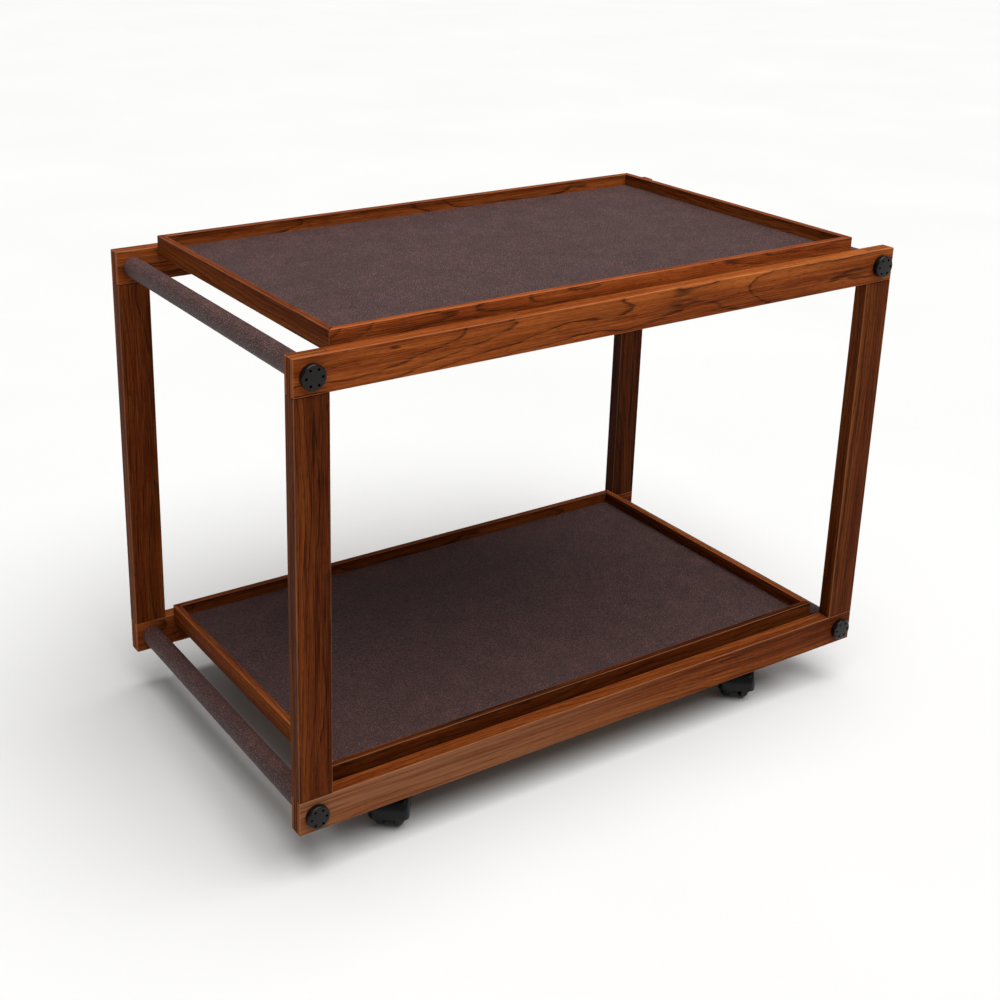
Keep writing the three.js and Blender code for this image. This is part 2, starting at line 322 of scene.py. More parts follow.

# %% [markdown]
# ## Leather
# The tray floors and the crossbars are covered in dark brown leather with a pebbled grain. Each pebble is a
# cell two to three millimetres across with a crease round it, which a Voronoi pattern's distance to the nearest
# edge gives. A fine noise breaks the cells up, and the creases are painted darker, as the shade that falls in them.
# Modelling every pebble would take millions of faces, so they are drawn by colour and by a bump.

# %% Pebbled leather
def make_leather(name, pebble, colours, roughness):
    """pebble is a pebble's width. colours are the painted shade in the creases, then those of dark, middling and
    light pebbles.
    """
    crease_shade, dark, middling, light = colours
    hide = Finish(name)
    place = hide.place()
    jitter = hide.node("ShaderNodeTexNoise", {}, {"Vector": place, "Scale": 500.0, "Detail": 1.0}, "Color")
    jitter_size = (0.9 * MM,) * 3
    nudged = hide.node("ShaderNodeVectorMath", {"operation": "MULTIPLY_ADD"}, {0: jitter, 1: jitter_size, 2: place})

    def pebbles(feature, output):
        inputs = {"Vector": nudged, "Scale": 1 / pebble}
        return hide.node("ShaderNodeTexVoronoi", {"feature": feature}, inputs, output)

    own_shade = hide.node("ShaderNodeSeparateColor", {}, {"Color": pebbles("F1", "Color")}, "Red")
    from_middle = pebbles("F1", "Distance")
    crease = 1 - hide.between(pebbles("DISTANCE_TO_EDGE", "Distance"), 0.02, 0.3)
    rubbed = hide.speckle(place, 30.0, 3.0, 0.6)
    ground = hide.ramp(own_shade * 0.35 + rubbed * 0.65, [(0.3, dark), (0.5, middling), (0.7, light)])
    # Painted shade: the creases are blended towards a dark colour.
    colour = hide.blend(crease * 0.8, ground, crease_shade)
    height = (1 - from_middle) * 0.6 - crease * 0.8
    gloss = roughness + (rubbed - 0.5) * 0.12 + crease * 0.15
    return hide.surface(colour, gloss, hide.bump(height, 0.8 * MM), Specular_IOR_Level=0.3)


# The first colour of each is the painted shade in the creases.
FLOOR_COLOURS = ("#1d0f0e", "#462d2b", "#543735", "#644441")
BAR_COLOURS = ("#1d0f0d", "#4c312f", "#5c3d3a", "#6b4945")
floor_leather = make_leather("tray_leather", 2.5 * MM, FLOOR_COLOURS, 0.46)
bar_leather = make_leather("crossbar_leather", 2.8 * MM, BAR_COLOURS, 0.42)
print("made", floor_leather.name, "and", bar_leather.name)

# %% [markdown]
# ## Metals and plastics
# The bolt caps are blackened steel with a few brighter specks. The castors are moulded in black nylon, with a
# faintly uneven skin. Their plates and the screws are zinc plated, and the sleeves are sewn with waxed thread.
# Each finish is a cloudy noise for its colour and a finer one for its gloss and its bump.

# %% Metals, plastics and thread
def make_blackened_steel():
    steel = Finish("blackened_steel")
    place = steel.place()
    cloud = steel.speckle(place, 120.0, 4.0, 0.6)
    specks = steel.between(steel.speckle(place, 1900.0, 2.0), 0.62, 0.75)
    colour = steel.ramp(cloud, [(0.3, "#070504"), (0.55, "#0d0a08"), (0.75, "#171210")])
    wear_and_highlight = steel.blend(specks * 0.25, colour, "#3b3330")
    roughness = 0.34 + (cloud - 0.5) * 0.2 + specks * 0.1
    normal = steel.bump(cloud + specks * 0.3, 0.05 * MM, 0.5)
    return steel.surface(wear_and_highlight, roughness, normal, Metallic=0.2, IOR=1.35)


def make_zinc():
    zinc = Finish("zinc_plate")
    place = zinc.place()
    spangle = zinc.node("ShaderNodeTexVoronoi", {}, {"Vector": place, "Scale": 420.0}, "Distance")
    cloud = zinc.speckle(place, 60.0, 4.0, 0.6)
    colour = zinc.ramp(cloud * 0.7 + spangle * 0.3, [(0.25, "#6d6c66"), (0.5, "#8f8e88"), (0.8, "#b3b2ab")])
    return zinc.surface(colour, 0.3 + cloud * 0.25, zinc.bump(cloud, 0.05 * MM, 0.4), Metallic=0.9)


def make_nylon(name, dark, light, roughness):
    nylon = Finish(name)
    place = nylon.place()
    skin = nylon.speckle(place, 1400.0, 2.0, 0.6)
    cloud = nylon.speckle(place, 70.0, 3.0, 0.6)
    dust = nylon.between(nylon.speckle(place, 300.0, 4.0, 0.7), 0.56, 0.8)
    colour = nylon.blend(cloud, dark, light)
    dust_and_light_colour = nylon.blend(dust * 0.12, colour, "#3a3d40")
    gloss = roughness + (cloud - 0.5) * 0.15 + dust * 0.2
    return nylon.surface(dust_and_light_colour, gloss, nylon.bump(skin + cloud, 0.06 * MM, 0.5), IOR=1.3)


def make_thread():
    thread = Finish("waxed_thread")
    place = thread.place()
    twist = thread.speckle(place, 2600.0, 2.0, 0.6)
    colour = thread.ramp(twist, [(0.3, "#241713"), (0.7, "#5a4238")])
    return thread.surface(colour, 0.45 + twist * 0.25, thread.bump(twist, 0.06 * MM, 0.8))


blackened_steel = make_blackened_steel()
zinc_plate = make_zinc()
hood_nylon = make_nylon("hood_nylon", "#040505", "#0b0d0e", 0.3)
wheel_nylon = make_nylon("wheel_nylon", "#040404", "#090a0b", 0.42)
waxed_thread = make_thread()
print("made the metals and plastics")

# %% [markdown]
# ## Geometry recipes
# Screws, stitches, spanner holes and a leather wrap all follow a rule, so Geometry Nodes makes them. A recipe
# is a node tree with named inputs. It is run on a starting mesh, and the result is kept as a plain mesh.

# %% Helpers for meshes and recipes
def add_piece(name, mesh, finish=None):
    obj = bpy.data.objects.new(name, mesh)
    bpy.context.collection.objects.link(obj)
    if finish is not None:
        mesh.materials.clear()
        mesh.materials.append(finish)
    return obj


def settled(obj):
    """The mesh that obj's modifiers make of it. obj itself is removed."""
    graph = bpy.context.evaluated_depsgraph_get()
    mesh = bpy.data.meshes.new_from_object(obj.evaluated_get(graph), depsgraph=graph)
    bpy.data.objects.remove(obj)
    return mesh


def modified(mesh, kind, **settings):
    obj = add_piece("work", mesh)
    modifier = obj.modifiers.new(kind.lower(), kind)
    for name, value in settings.items():
        setattr(modifier, name, value)
    return settled(obj)


def combined(mesh, operation, *tools):
    for tool in tools:
        helper = add_piece("tool", tool)
        mesh = modified(mesh, "BOOLEAN", operation=operation, object=helper, solver="EXACT")
        bpy.data.objects.remove(helper)
    return mesh


def mesh_of(points, faces=(), edges=()):
    mesh = bpy.data.meshes.new("mesh")
    mesh.from_pydata([tuple(p) for p in points], list(edges), list(faces))
    return mesh


def facing_out(mesh):
    bm = bmesh.new()
    bm.from_mesh(mesh)
    bmesh.ops.remove_doubles(bm, verts=bm.verts, dist=1e-6)
    bmesh.ops.recalc_face_normals(bm, faces=bm.faces)
    bm.to_mesh(mesh)
    bm.free()
    return mesh


def rounded_looking(mesh, sharp_from=35):
    """Smooth shading, apart from edges sharper than that angle."""
    mesh.shade_smooth()
    mesh.set_sharp_from_angle(angle=math.radians(sharp_from))
    return mesh


def moved(mesh, matrix):
    copy = mesh.copy()
    copy.transform(matrix)
    return copy


def stands_for(piece):
    """The piece stands in for the CAD node of its own name: it rides on that node's body, and the node is hidden.
    """
    node = piece.name.removeprefix("shown_")
    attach(piece, frame["nodes"][node]["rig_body"])
    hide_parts(node)
    return piece


class Recipe(Graph):
    """A geometry node tree with named inputs."""

    def __init__(self, name, **inputs):
        self.tree = bpy.data.node_groups.new(name, "GeometryNodeTree")
        self.tree.interface.new_socket("Geometry", in_out="INPUT", socket_type="NodeSocketGeometry")
        self.tree.interface.new_socket("Geometry", in_out="OUTPUT", socket_type="NodeSocketGeometry")
        for label, kind in inputs.items():
            self.tree.interface.new_socket(label, in_out="INPUT", socket_type="NodeSocket" + kind)
        self.given = self.tree.nodes.new("NodeGroupInput")

    def asked(self, label):
        return Wire(self, self.find(self.given.outputs, label))

    def served(self, geometry, material):
        """Ends the recipe in a plain mesh with a material."""
        plain = self.node("GeometryNodeRealizeInstances", {}, {"Geometry": geometry})
        finished = self.node("GeometryNodeSetMaterial", {}, {"Geometry": plain, "Material": material})
        self.node("NodeGroupOutput", {}, {"Geometry": finished})

    def run(self, mesh, **values):
        """The mesh that the recipe makes of mesh, with values for its inputs."""
        obj = add_piece("work", mesh)
        modifier = obj.modifiers.new("recipe", "NODES")
        modifier.node_group = self.tree
        for socket in self.tree.interface.items_tree:
            if socket.in_out == "INPUT" and socket.name in values:
                modifier[socket.identifier] = values[socket.name]
        return settled(obj)


# %% [markdown]
# ## Boards
# Every wooden piece is a flat outline carried along a line. A rail is an outline with a fork at each end,
# carried up its height. A leg is an outline with a tongue at each end. A tray side is a grooved section with
# mitred ends. Real boards have their edges eased with sandpaper, about a millimetre on the outer edges and
# half of that where two boards meet, which leaves the fine dark line of a joint. One bevel modifier does both,
# because every edge has its own weight.

# %% The board maker
JOINT_EASE = 0.6 * MM
SHARP = math.radians(20)  # an edge that turns less than this is part of a curve
SAME_PLACE = 1e-6


def prism(outline, sweep, low, high):
    """outline carried along x or z from low to high, which are numbers or functions of an outline's point."""

    def layer(level):
        levels = [level(a, b) if callable(level) else level for a, b in outline]
        return [(c, a, b) if sweep == "x" else (a, b, c) for (a, b), c in zip(outline, levels)]

    count = len(outline)
    sides = [(i, (i + 1) % count, (i + 1) % count + count, i + count) for i in range(count)]
    points = [Vector(p) * MM for p in layer(low) + layer(high)]
    return facing_out(mesh_of(points, [tuple(range(count)), tuple(range(count, 2 * count)), *sides]))


def ease_edges(mesh, ease, against):
    """Rounds each outer edge by ease, and the edges that lie against another board by JOINT_EASE.

    An edge is an outer one if it lies in two walls of the board's box. against tells whether a point in
    millimetres is on an edge that meets another board."""
    bm = bmesh.new()
    bm.from_mesh(mesh)
    weight = bm.edges.layers.float.new("bevel_weight_edge")
    low = [min(v.co[i] for v in bm.verts) for i in range(3)]
    high = [max(v.co[i] for v in bm.verts) for i in range(3)]
    for edge in bm.edges:
        if not edge.is_convex or edge.calc_face_angle() < SHARP:
            continue
        a, b = (v.co for v in edge.verts)
        walls = sum(
            max(abs(a[i] - wall[i]), abs(b[i] - wall[i])) < SAME_PLACE for i in range(3) for wall in (low, high)
        )
        free = walls == 2 and not (against and against((a + b) / 2 / MM))
        edge[weight] = 1.0 if free else JOINT_EASE / ease
    bm.to_mesh(mesh)
    bm.free()
    return modified(mesh, "BEVEL", width=ease, segments=3, limit_method="WEIGHT", offset_type="OFFSET")


def edge_kind(face, low, high, ease):
    """1 for an eased arris, -1 for the edge of a joint and 0 for a flat face."""
    if max(abs(c) for c in face.normal) > 0.995:
        return 0
    walls = sum(min(abs(face.center[i] - low[i]), abs(face.center[i] - high[i])) < ease for i in range(3))
    return 1 if walls >= 2 else -1


def add_grain(mesh, pith, tone, dull, shift, ease):
    """Gives each point its place in the trunk, with x along the board, and tells each face what kind it is."""
    count = len(mesh.vertices)
    places = np.zeros(count * 3)
    mesh.vertices.foreach_get("co", places)
    places = places.reshape(-1, 3)
    low, high = places.min(0), places.max(0)
    in_trunk = places + (shift, -pith[0] * MM, -pith[1] * MM)
    mesh.attributes.new("grain", "FLOAT_VECTOR", "POINT").data.foreach_set("vector", in_trunk.ravel())
    face_facts = {
        "tone": [tone] * len(mesh.polygons),
        # Broad faces carry how much painted light pales their left end.
        "dull": [dull if abs(face.normal.y) > 0.9 else 0.0 for face in mesh.polygons],
        "end_grain": [1.0 if abs(face.normal.x) > 0.9 else 0.0 for face in mesh.polygons],
        "edge": [edge_kind(face, low, high, ease) for face in mesh.polygons],
    }
    for name, values in face_facts.items():
        mesh.attributes.new(name, "FLOAT", "FACE").data.foreach_set("value", values)


def add_board(node, mesh, matrix, figure=((45, 12), 0.0), ease=1.1, against=None, finish=walnut):
    """A board made with x along its grain, then put in its place.

    figure is the place of the pith, in millimetres across the board's y and z, then the tone, from -1, nearly
    black, to 1, pale orange, and then how much painted light pales its broad faces towards their left end, from 0
    to 1."""
    pith, tone, dull = (*figure, 0.0)[:3]
    mesh = ease_edges(mesh, ease * MM, against)
    add_grain(mesh, pith, tone, dull, random.Random(node).uniform(-5, 5), ease * MM)
    mesh.transform(matrix)
    return stands_for(add_piece("shown_" + node, mesh, finish))


def at(x, y, z, turn=None):
    """The matrix of a place in millimetres, after a turn."""
    place = Matrix.Translation(Vector((x, y, z)) * MM)
    return place @ turn if turn else place


# %% [markdown]
# ## The side frames
# Each corner is a bridle joint: the rail's fork holds the leg's tongue, with the bolt through all three
# layers. The end of a rail therefore shows three bands, and its top shows them for the width of the leg.
# The figure is flat-sawn on the broad faces, so the pith lies behind or in front of each board.

# %% Rails and legs
FRAME_LENGTH, FRAME_HEIGHT = 914, 594
BOARD, THICK = 45, 20
BOARD_Y = 247
BOLT_X = FRAME_LENGTH / 2 - BOARD / 2
CASTOR_HEIGHT = 62
RAIL_Z = {"top": CASTOR_HEIGHT + FRAME_HEIGHT - BOARD / 2, "bottom": CASTOR_HEIGHT + BOARD / 2}
SLOT = THICK / 6  # half the slot's width
PLAY = 0.1  # room in the joints
UPRIGHT = Matrix.Rotation(-math.pi / 2, 4, "Y")  # carries a board's x up to +Z

# For each board the place of its pith, its tone, and how much painted light pales its broad faces towards the left.
RAIL_FIGURE = {
    "top_front_rail": ((58, 6), 0.12),
    # The lower front rail's paler left end and its low tone paint light that falls off towards the right; the low
    # tone is partly darker wood.
    "bottom_front_rail": ((-44, -30), -0.28, 0.45),
    "top_back_rail": ((52, -14), 0.1),
    "bottom_back_rail": ((-60, 8), 0.0),
}
LEG_FIGURE = {
    "front_left_leg": ((40, -14), -0.52),
    "front_right_leg": ((30, 44), -0.52),
    "back_left_leg": ((36, -22), -0.3),
    # The back right leg stands in shade inside the cart, and its darkest tone is partly painted shade.
    "back_right_leg": ((30, 30), -0.75),
}


def rail_outline():
    """A rail from above, with a slot in each end."""
    end, half = FRAME_LENGTH / 2, THICK / 2
    slot_end = end - BOARD - PLAY
    fork = [(end, -half), (end, -SLOT), (slot_end, -SLOT), (slot_end, SLOT), (end, SLOT), (end, half)]
    return fork + [(-x, -y) for x, y in fork]


def leg_outline():
    """A leg from its narrow side, with a tongue at each end."""
    end, half, tongue = FRAME_HEIGHT / 2, THICK / 2, SLOT - PLAY
    shoulder = end - BOARD - PLAY
    tip = [(shoulder, -half), (shoulder, -tongue), (end, -tongue)]
    tip += [(x, -y) for x, y in reversed(tip)]
    return tip + [(-x, -y) for x, y in tip]


def in_slot(end_sign):
    """Tells whether a point of a leg is on a tongue's edge at the bottom of a rail's slot.

    Once the leg is upright its z points to -X, so that edge is on the side of z that end_sign gives."""
    return lambda p: abs(p.x) > FRAME_HEIGHT / 2 - BOARD and p.z * end_sign > 0


for node, figure in RAIL_FIGURE.items():
    tier, face, _ = node.split("_")
    rail = prism(rail_outline(), "z", -BOARD / 2, BOARD / 2)
    add_board(node, rail, at(0, FACES[face] * BOARD_Y, RAIL_Z[tier]), figure)

for node, figure in LEG_FIGURE.items():
    face, end, _ = node.split("_")
    leg = prism(leg_outline(), "z", -BOARD / 2, BOARD / 2)
    place = at(ENDS[end] * BOLT_X, FACES[face] * BOARD_Y, CASTOR_HEIGHT + FRAME_HEIGHT / 2, UPRIGHT)
    add_board(node, leg, place, figure, against=in_slot(ENDS[end]))
print("made", len(RAIL_FIGURE), "rails and", len(LEG_FIGURE), "legs")

# %% [markdown]
# ## The trays
# Four thin boards are mitred at the corners, with a groove inside for the plywood base. A section carried
# along x, cut at 45 degrees at both ends, gives a side. The mitres are eased a little less than the rim, so
# that the corner stays crisp and shows its joint line.

# %% Tray sides and bases
TRAY_LENGTH, TRAY_WIDTH, TRAY_HEIGHT = 800, 467, 27
TRAY_SIDE = 9
TRAY_Z = {"upper": CASTOR_HEIGHT + FRAME_HEIGHT - 10.5, "lower": CASTOR_HEIGHT + BOARD - 10.5}
TRAY_Y = {"upper": 0, "lower": 2.8}  # the lower tray is pushed back, which leaves a dark gap at the front
GROOVE = (2.8, 9.2)  # its lower and upper edge above the tray's underside
GROOVE_DEPTH = 4
MITRE_PLAY = 0.12
BASE = (789.6, 456.6)
BASE_Z = (3.0, 9.0)


def rectangle(length, width):
    x, y = length / 2, width / 2
    return [(-x, -y), (x, -y), (x, y), (-x, y)]


def tray_side_section():
    """Outer face at y 0, underside at z 0, and the groove open towards the tray's inside."""
    y = TRAY_SIDE - GROOVE_DEPTH
    low, high = GROOVE
    return [
        (0, 0),
        (TRAY_SIDE, 0),
        (TRAY_SIDE, low),
        (y, low),
        (y, high),
        (TRAY_SIDE, high),
        (TRAY_SIDE, TRAY_HEIGHT),
        (0, TRAY_HEIGHT),
    ]


def tray_side(length):
    half = length / 2 - MITRE_PLAY
    return prism(tray_side_section(), "x", lambda y, z: y - half, lambda y, z: half - y)


def at_mitre(length):
    """Tells whether a point of a side of that length is near one of its mitred ends."""
    return lambda p: abs(p.x) > length / 2 - TRAY_SIDE - 1


# For each side its length, its quarter turns, the middle of its outer face, and the place of its pith.
TRAY_SIDES = {
    "front_side": (TRAY_LENGTH, 0, (0, -TRAY_WIDTH / 2), (40, 30)),
    "right_end": (TRAY_WIDTH, 1, (TRAY_LENGTH / 2, 0), (-30, 34)),
    "back_side": (TRAY_LENGTH, 2, (0, TRAY_WIDTH / 2), (-44, 20)),
    "left_end": (TRAY_WIDTH, 3, (-TRAY_LENGTH / 2, 0), (36, -28)),
}
TRAY_TONES = {
    "upper": {"front_side": 0.5, "right_end": 0.2, "back_side": 0.25, "left_end": -0.1},
    # The lower tray's front side is darker wood, and its low tone also paints the shade that falls on it under the
    # upper tray and in the gap at the rail.
    "lower": {"front_side": -0.65, "right_end": -0.1, "back_side": -0.1, "left_end": 0.0},
}

for tier, tray_z in TRAY_Z.items():
    for side, (length, quarter, (x, y), pith) in TRAY_SIDES.items():
        place = at(x, y + TRAY_Y[tier], tray_z, Matrix.Rotation(quarter * math.pi / 2, 4, "Z"))
        figure = (pith, TRAY_TONES[tier][side])
        add_board(f"{tier}_tray_{side}", tray_side(length), place, figure, 0.8, at_mitre(length))
    base = prism(rectangle(*BASE), "z", *BASE_Z)
    add_board(f"{tier}_tray_base", base, at(0, TRAY_Y[tier], tray_z), ease=0.5, finish=plywood)
print("made the trays")

# %% [markdown]
# ## Cleats, bearers and bars
# A cleat under each long side holds a tray up, and two bearers across the bottom take the castors. Inside the
# leather of each crossbar is a turned walnut bar. All of them are plain outlines made by the same board maker.

# %% Supports and crossbars
CLEAT, CLEAT_LENGTH = 14, 700
CLEAT_Y = 229.8
CLEAT_Z = {tier: TRAY_Z[tray] - 0.2 - CLEAT / 2 for tier, tray in TIERS.items()}  # just under each tray
BEARER_WIDTH, BEARER_THICK, BEARER_LENGTH = 60, 20, 473.6
CASTOR_X, CASTOR_Y = 292, 194
BAR_RADIUS, BAR_LENGTH, BAR_SIDES = 12, 473.6, 48
ACROSS = Matrix.Rotation(math.pi / 2, 4, "Z")  # carries a board's x to +Y


def plank(length, width, height):
    return prism(rectangle(length, width), "z", -height / 2, height / 2)


for tier, z in CLEAT_Z.items():
    for face, sign in FACES.items():
        cleat = plank(CLEAT_LENGTH, CLEAT, CLEAT)
        add_board(f"{tier}_{face}_tray_cleat", cleat, at(0, sign * CLEAT_Y, z), ((33, 15), -0.2))

for end, sign in ENDS.items():
    bearer = plank(BEARER_LENGTH, BEARER_WIDTH, BEARER_THICK)
    add_board(f"{end}_castor_bearer", bearer, at(sign * CASTOR_X, 0, CASTOR_HEIGHT + BEARER_THICK / 2, ACROSS))
    for tier, z in RAIL_Z.items():
        angles = [2 * math.pi * i / BAR_SIDES for i in range(BAR_SIDES)]
        circle = [(BAR_RADIUS * math.cos(a), BAR_RADIUS * math.sin(a)) for a in angles]
        bar = prism(circle, "x", -BAR_LENGTH / 2, BAR_LENGTH / 2)
        add_board(f"{tier}_{end}_crossbar", bar, at(sign * BOLT_X, 0, z, ACROSS))
print("made the supports and crossbars")

# %% [markdown]
# ## Leather floors
# Each tray's leather is one panel glued to the base. Its cut edge rolls down a little where it was pressed
# against the sides, and the surface rises and falls by a fraction of a millimetre, which the light picks up.
# A cloth simulation would give the same flat panel, so the points are worked out directly on a grid that is
# close-meshed at the edge.

# %% The leather in the trays
FLOOR_LENGTH, FLOOR_WIDTH, FLOOR_THICK = 781.2, 448.2, 1.9
FLOOR_Z = 9.1  # above the tray's underside
ROLL, ROLL_DEPTH = 1.5, 0.85
SWELL, SWELL_ROOM, SWELL_RATE = 0.12, 0.15, 0.012  # how high, the room left for it, and rises to the millimetre
CALM_EDGE = 20  # the swell fades out over this width


def panel_steps(length, spacing=5.0):
    """The grid's lines across a length, with a few close together at each edge."""
    half = length / 2
    edge = [half - inset for inset in (0.0, 0.15, 0.4, 0.8, 1.5)]
    inner = np.linspace(-half + 4, half - 4, int(length / spacing))
    return np.array([*(-v for v in edge), *inner, *reversed(edge)])


def leather_panel(seed):
    xs, ys = panel_steps(FLOOR_LENGTH), panel_steps(FLOOR_WIDTH)
    top = []
    for x in xs:
        for y in ys:
            inset = min(FLOOR_LENGTH / 2 - abs(x), FLOOR_WIDTH / 2 - abs(y))
            roll = ROLL - math.sqrt(ROLL**2 - max(ROLL - inset, 0) ** 2)
            rise = noise.noise(Vector((x * SWELL_RATE, y * SWELL_RATE, seed)))
            swell = rise * SWELL * min(inset / CALM_EDGE, 1)
            top.append((x, y, FLOOR_THICK - SWELL_ROOM - roll * ROLL_DEPTH + swell))
    rows, across = len(xs), len(ys)
    bottom = [(x, y, 0) for x, y, _ in top]
    faces = []
    for level in (0, rows * across):
        for i in range(rows - 1):
            for j in range(across - 1):
                a = level + i * across + j
                faces.append((a, a + across, a + across + 1, a + 1))
    rim = [i * across for i in range(rows)] + [(rows - 1) * across + j for j in range(1, across)]
    rim += [i * across + across - 1 for i in reversed(range(rows - 1))] + list(reversed(range(1, across - 1)))
    for a, b in zip(rim, rim[1:] + rim[:1]):
        faces.append((a, b, b + rows * across, a + rows * across))
    return facing_out(mesh_of([Vector(p) * MM for p in top + bottom], faces))


for seed, (tier, tray_z) in enumerate(TRAY_Z.items()):
    panel = leather_panel(seed * 7.3)
    panel.transform(at(0, TRAY_Y[tier], tray_z + FLOOR_Z))
    floor = add_piece(f"shown_{tier}_tray_leather", rounded_looking(panel, 60), floor_leather)
    stands_for(floor)
print("made the leather floors")

# %% [markdown]
# ## Leather crossbars
# A strip of leather is wrapped round each bar and its two edges meet in a seam on the inner underside, where
# it isn't seen. The recipe sweeps the strip's cross-section, a ring with a narrow gap, along the bar, and
# ripples it a little as leather does when it is pulled tight. A second recipe sews across the seam.

# %% The wrap and its stitches
WRAP_OUTER, WRAP_INNER, WRAP_LENGTH = 14.0, 12.15, 473.2
SEAM_GAP = 0.5  # between the strip's two edges
SEAM_DIP, SEAM_DIP_WIDTH = 0.7, 1.3  # how deep, in millimetres, and how wide, in steps round the bar
WRAP_STEPS = 120
RIPPLE = {"rings": 260, "ripple": 0.35 * MM, "ripple_scale": 110.0}
RIPPLE_ROOM = 0.25
STITCH_PITCH = 7.0
STITCH_COUNT = int((WRAP_LENGTH - 20) / STITCH_PITCH)
STITCH = {"pitch": STITCH_PITCH * MM, "length": 4.4 * MM, "thickness": 0.55 * MM, "slant": 0.35}
STITCH_SINK = 0.45  # how far its middle lies below the leather's outside


def wrap_section(seam_angle):
    """The strip's cross-section in the XZ plane, from one edge of the strip round to the other."""
    gap = SEAM_GAP / WRAP_OUTER / 2
    around = np.linspace(seam_angle + gap, seam_angle + 2 * math.pi - gap, WRAP_STEPS)
    from_seam = np.minimum(np.arange(WRAP_STEPS), np.arange(WRAP_STEPS)[::-1])
    outer = WRAP_OUTER - RIPPLE_ROOM - SEAM_DIP * np.exp(-((from_seam / SEAM_DIP_WIDTH) ** 2))
    ring = [(r * math.cos(a), 0, r * math.sin(a)) for a, r in zip(around, outer)]
    ring += [(WRAP_INNER * math.cos(a), 0, WRAP_INNER * math.sin(a)) for a in around[::-1]]
    count = len(ring)
    return mesh_of([Vector(p) * MM for p in ring], edges=[(i, (i + 1) % count) for i in range(count)])


def make_wrap_recipe():
    r = Recipe("wrap a strip round a bar", length="Float", rings="Int", ripple="Float", ripple_scale="Float")
    half = r.asked("length") * 0.5
    start = r.node("ShaderNodeCombineXYZ", {}, {"Y": half * -1})
    end = r.node("ShaderNodeCombineXYZ", {}, {"Y": half})
    line = r.node("GeometryNodeCurvePrimitiveLine", {}, {"Start": start, "End": end})
    path = r.node("GeometryNodeResampleCurve", {}, {"Curve": line, "Count": r.asked("rings")})
    upright = r.node("GeometryNodeSetCurveNormal", {"mode": "Z_UP"}, {"Curve": path})
    outline = r.node("GeometryNodeMeshToCurve", {}, {"Mesh": r.asked("Geometry")})
    flat = r.node("GeometryNodeTransform", {}, {"Geometry": outline, "Rotation": (math.pi / 2, 0, 0)})
    tube = r.node("GeometryNodeCurveToMesh", {}, {"Curve": upright, "Profile Curve": flat, "Fill Caps": True})
    place = r.node("GeometryNodeInputPosition")
    normal = r.node("GeometryNodeInputNormal")
    twisted = r.node("ShaderNodeVectorMath", {"operation": "MULTIPLY"}, {0: place, 1: (1.0, 0.45, 1.0)})
    waves = r.node("ShaderNodeTexNoise", {}, {"Vector": twisted, "Scale": r.asked("ripple_scale"), "Detail": 2.0})
    push = (waves - 0.5) * r.asked("ripple")
    offset = r.node("ShaderNodeVectorMath", {"operation": "SCALE"}, {0: normal, "Scale": push})
    rippled = r.node("GeometryNodeSetPosition", {}, {"Geometry": tube, "Offset": offset})
    r.served(rippled, bar_leather)
    return r


def make_stitch_recipe():
    r = Recipe("sew along a line", count="Int", pitch="Float", length="Float", thickness="Float", slant="Float")
    run = (r.asked("count") - 1) * r.asked("pitch") * 0.5
    start = r.node("ShaderNodeCombineXYZ", {}, {"Y": run * -1})
    step = r.node("ShaderNodeCombineXYZ", {}, {"Y": r.asked("pitch")})
    line = r.node("GeometryNodeMeshLine", {}, {"Count": r.asked("count"), "Start Location": start, "Offset": step})
    lie = r.node("ShaderNodeCombineXYZ", {}, {"Z": r.asked("slant")})
    ball = r.node("GeometryNodeMeshUVSphere", {}, {"Segments": 10, "Rings": 8, "Radius": 0.5})
    size = r.node(
        "ShaderNodeCombineXYZ", {}, {"X": r.asked("length"), "Y": r.asked("thickness"), "Z": r.asked("thickness")}
    )
    inputs = {"Points": line, "Instance": ball, "Rotation": lie, "Scale": size}
    sewn = r.node("GeometryNodeInstanceOnPoints", {}, inputs)
    r.served(sewn, waxed_thread)
    return r


wrap_recipe = make_wrap_recipe()
stitch_recipe = make_stitch_recipe()
for tier, z in RAIL_Z.items():
    for end, sign in ENDS.items():
        seam_angle = math.radians(-90 - sign * 50)
        place = at(sign * BOLT_X, 0, z)
        wrap = wrap_recipe.run(wrap_section(seam_angle), length=WRAP_LENGTH * MM, **RIPPLE)
        wrap = rounded_looking(facing_out(wrap), 50)
        wrap.transform(place)
        sleeve = stands_for(add_piece(f"shown_{tier}_{end}_leather_sleeve", wrap, bar_leather))
        thread = stitch_recipe.run(mesh_of([]), count=STITCH_COUNT, **STITCH)
        turn = Matrix.Rotation(math.pi / 2 - seam_angle, 4, "Y")
        thread.transform(place @ turn @ at(0, 0, WRAP_OUTER - STITCH_SINK))
        thread.shade_smooth()
        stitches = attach(add_piece(f"{tier}_{end}_sleeve_stitches", thread, waxed_thread), "frame")
print("made the leather crossbars, each with", STITCH_COUNT, "stitches")

# %% [markdown]
# ## Bolts
# A broad round cap with a soft edge closes each corner. It is turned, so it is a lathe profile, and a ring of
# six blind holes for a pin spanner is drilled into it by a recipe.

# %% Bolt caps
CAP_RADIUS, CAP_HEIGHT = 15, 7.5
CAP_Y = 257.2  # just off the rail's outer face
STUD_RADIUS, STUD_LENGTH = 4, 55
HOLES = {"count": 6, "ring_radius": 10.2 * MM, "hole_radius": 1.7 * MM, "depth": 3 * MM, "face": CAP_HEIGHT * MM}


